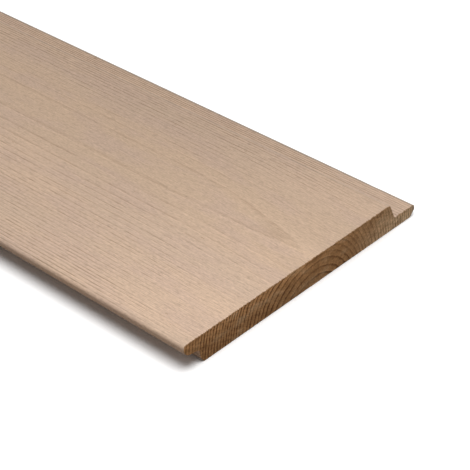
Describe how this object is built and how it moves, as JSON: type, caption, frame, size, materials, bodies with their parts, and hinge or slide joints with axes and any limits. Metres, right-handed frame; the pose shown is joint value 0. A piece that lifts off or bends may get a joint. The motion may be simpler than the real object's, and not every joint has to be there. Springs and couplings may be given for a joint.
{
  "type": "bevel-edged shiplap siding board",
  "caption": "Flat softwood siding board with a rounded overhanging nose and rebate along one edge, and a bevelled shoulder and tongue along the other.",
  "frame": {"origin": "centre of the back face, which lies on the floor", "axes": "+X along the board, +Y across it from the nose (lower edge on a wall) to the tongue (upper edge), +Z out of the weather face"},
  "size_m": [2.44, 0.185, 0.0175],
  "materials": {
    "siding_board": "pale pinkish beige stain on the milled faces, raw brown end grain"
  },
  "bodies": {
    "root": {"siding_board": "siding_board"}
  },
  "joints": []
}
